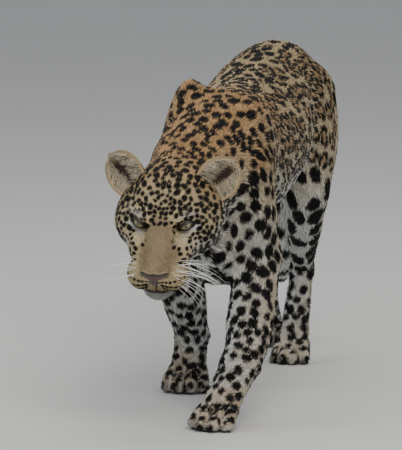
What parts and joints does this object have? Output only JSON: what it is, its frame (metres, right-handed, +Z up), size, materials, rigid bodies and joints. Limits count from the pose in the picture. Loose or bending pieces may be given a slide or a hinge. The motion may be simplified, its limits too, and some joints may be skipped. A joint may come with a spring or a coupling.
{
  "type": "leopard",
  "caption": "Life-size leopard in mid-walk with lowered head, rounded ears, four padded paws on the ground and a long tail curved behind it.",
  "frame": {"origin": "under the middle of the animal's bounding box, on the ground its soles stand on", "axes": "+Z up, +Y from the head to the tail, +X to the animal's left"},
  "size_m": [0.2752, 1.5628, 0.6013],
  "materials": {
    "face_coat": "matte",
    "tawny_coat": "matte",
    "flank_coat": "matte",
    "leg_coat": "matte",
    "tail_coat": "matte",
    "ear_coat": "matte",
    "eye": "gloss"
  },
  "bodies": {
    "root": {"head": "face_coat", "neck": "tawny_coat", "torso": "flank_coat", "ear_left": "ear_coat", "ear_right": "ear_coat", "eye_left": "eye", "eye_right": "eye", "foreleg_left": "leg_coat", "forepaw_left": "leg_coat", "foreleg_right": "leg_coat", "forepaw_right": "leg_coat", "hindleg_left": "leg_coat", "hindpaw_left": "leg_coat", "hindleg_right": "leg_coat", "hindpaw_right": "leg_coat", "tail_base": "tail_coat", "tail_middle": "tail_coat", "tail_tip": "tail_coat"}
  },
  "joints": []
}
